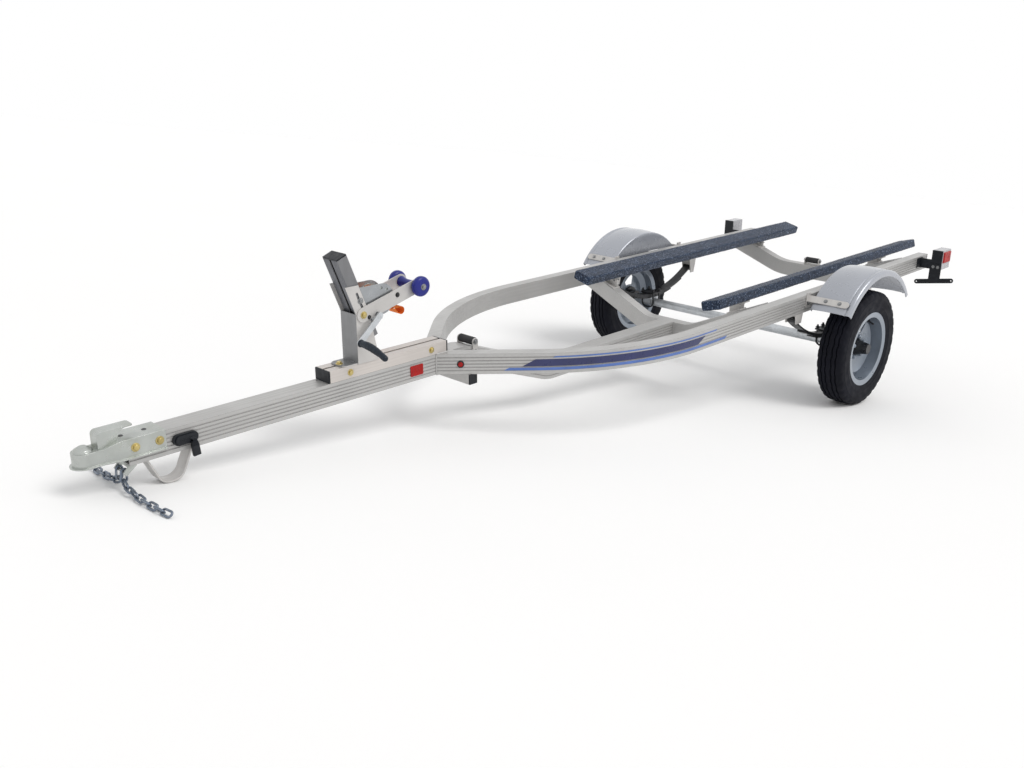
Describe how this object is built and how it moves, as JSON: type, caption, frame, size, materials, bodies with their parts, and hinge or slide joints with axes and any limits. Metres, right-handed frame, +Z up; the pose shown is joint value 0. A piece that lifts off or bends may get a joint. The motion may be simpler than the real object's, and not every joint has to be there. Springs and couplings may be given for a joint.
{
  "type": "boat trailer",
  "caption": "Single-axle trailer for a small personal watercraft, with grooved aluminium frame, carpeted bunks, winch post, leaf springs and fenders.",
  "frame": {"origin": "on the ground under the middle of its length, as it parks on its wheels and tongue foot", "axes": "+X forward to the coupler, +Y to the trailer's left, +Z up"},
  "size_m": [4.4119, 1.496, 0.7088],
  "materials": {
    "aluminium_tube": "ribbed mill extrusion",
    "aluminium_plate": "satin",
    "grey_post": "satin",
    "galvanised_steel": "galvanised",
    "zinc_steel": "zinc plated",
    "chain_steel": "dull",
    "black_steel": "semi-gloss",
    "black_hub": "gloss",
    "silver_rim": "gloss",
    "silver_fender": "gloss",
    "black_plastic": "matte",
    "silver_lamp": "gloss",
    "red_lens": "clear gloss",
    "blue_polymer": "gloss",
    "black_rubber": "matte",
    "tyre_rubber": "matte",
    "orange_webbing": "woven",
    "bunk_carpet": "looped carpet"
  },
  "bodies": {
    "frame": {"tongue": "aluminium_tube", "side_rail_left": "aluminium_tube", "side_rail_right": "aluminium_tube", "front_cross_member": "aluminium_tube", "rear_cross_member": "aluminium_tube", "joint_tube": "aluminium_tube", "carriage_tube": "aluminium_tube", "winch_post": "grey_post", "winch_stand": "aluminium_plate", "bow_arms": "aluminium_plate", "bunk_brackets": "aluminium_plate", "keel_brackets": "aluminium_plate", "lamp_plates": "aluminium_plate", "fender_straps": "galvanised_steel", "axle": "galvanised_steel", "spring_clamps": "galvanised_steel", "chain_anchor": "galvanised_steel", "tongue_foot": "aluminium_plate", "tube_end_caps": "black_plastic", "slot_tube_caps": "black_plastic", "plug_holder": "black_plastic", "wiring_plug": "black_rubber", "coupler": "zinc_steel", "coupler_latch": "zinc_steel", "safety_chain_left": "chain_steel", "safety_chain_right": "chain_steel", "winch_frame": "zinc_steel", "bunk_left": "bunk_carpet", "bunk_right": "bunk_carpet", "leaf_spring_left": "black_steel", "leaf_spring_right": "black_steel", "spring_hangers": "aluminium_plate", "fender_left": "silver_fender", "fender_right": "silver_fender", "tail_lamps": "silver_lamp", "tail_lenses": "red_lens", "plate_bracket": "black_steel", "side_markers": "red_lens", "reflectors": "red_lens"},
    "wheel_left": {"hub_left": "black_hub", "rim_left": "silver_rim", "tyre_left": "tyre_rubber"},
    "wheel_right": {"hub_right": "black_hub", "rim_right": "silver_rim", "tyre_right": "tyre_rubber"},
    "bow_roller": {"bow_roller": "blue_polymer"},
    "winch_drum": {"winch_drum": "zinc_steel", "winch_strap": "orange_webbing"},
    "winch_crank": {"winch_crank": "zinc_steel", "crank_grip": "black_plastic"},
    "keel_roller_front": {"keel_roller_front": "black_rubber"},
    "keel_roller_rear": {"keel_roller_rear": "black_rubber"}
  },
  "joints": [
    {"name": "wheel_left_spin", "type": "hinge", "parent": "frame", "child": "wheel_left", "pos_m": [-1.08271, 0.661, 0.265], "axis": [0, 1, 0], "continuous": true},
    {"name": "wheel_right_spin", "type": "hinge", "parent": "frame", "child": "wheel_right", "pos_m": [-1.08271, -0.661, 0.265], "axis": [0, 1, 0], "continuous": true},
    {"name": "bow_roller_spin", "type": "hinge", "parent": "frame", "child": "bow_roller", "pos_m": [1.05801, 0, 0.54217], "axis": [0, 1, 0], "continuous": true},
    {"name": "winch_drum_spin", "type": "hinge", "parent": "frame", "child": "winch_drum", "pos_m": [1.2002, 0, 0.50182], "axis": [0, 1, 0], "continuous": true},
    {"name": "winch_crank_spin", "type": "hinge", "parent": "frame", "child": "winch_crank", "pos_m": [1.22215, 0, 0.45276], "axis": [0, 1, 0], "continuous": true},
    {"name": "keel_roller_front_spin", "type": "hinge", "parent": "frame", "child": "keel_roller_front", "pos_m": [0.75925, 0, 0.32041], "axis": [0, 1, 0], "continuous": true},
    {"name": "keel_roller_rear_spin", "type": "hinge", "parent": "frame", "child": "keel_roller_rear", "pos_m": [-1.83996, 0, 0.54185], "axis": [0, 1, 0], "continuous": true}
  ],
  "couplings": [
    {"joint": "winch_crank_spin", "follows": "winch_drum_spin", "ratio": -4}
  ]
}
